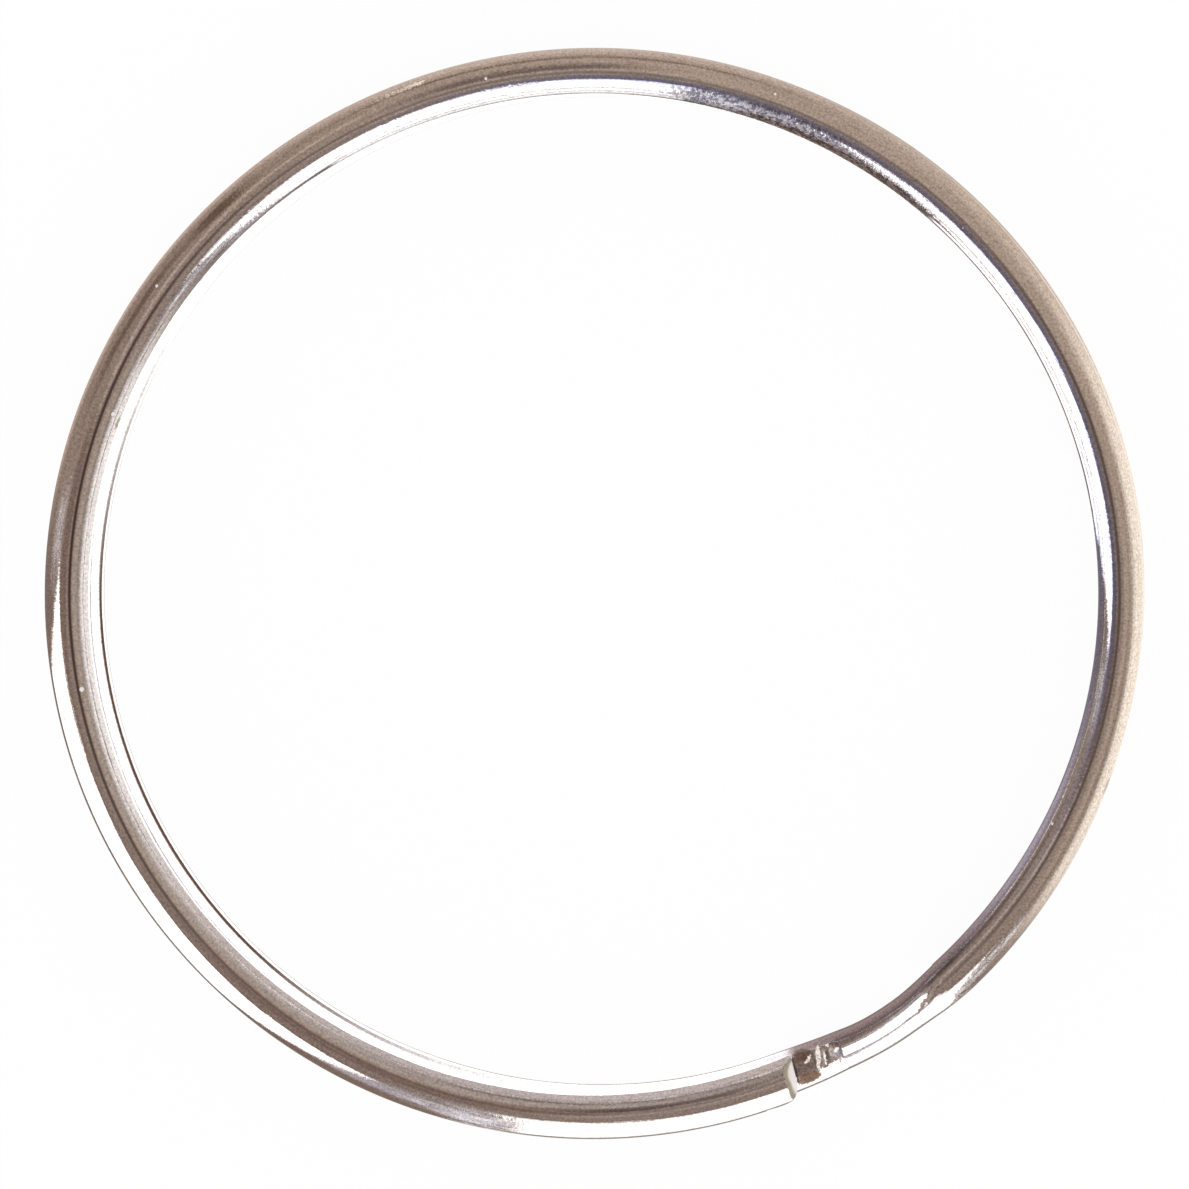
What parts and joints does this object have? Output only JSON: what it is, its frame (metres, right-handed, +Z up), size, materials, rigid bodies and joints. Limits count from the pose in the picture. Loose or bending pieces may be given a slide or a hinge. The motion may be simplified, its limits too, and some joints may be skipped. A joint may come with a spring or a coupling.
{
  "type": "split ring",
  "caption": "Split ring of round plated spring wire, wound in touching turns with a stepped crossover, for holding keys, tags and fobs.",
  "frame": {"origin": "centre of the upper turn, on the surface that the lower turn rests on", "axes": "+Z up along the ring's axis, from the lower turn to the upper one; +X towards the side to which the lower turn has sprung a little; the crossover lies clockwise from +X as seen from above"},
  "size_m": [0.0511, 0.0508, 0.0043],
  "materials": {
    "plated_wire": "bright nickel plating with fine pits and handling marks"
  },
  "bodies": {
    "root": {"split_ring": "plated_wire"}
  },
  "joints": []
}
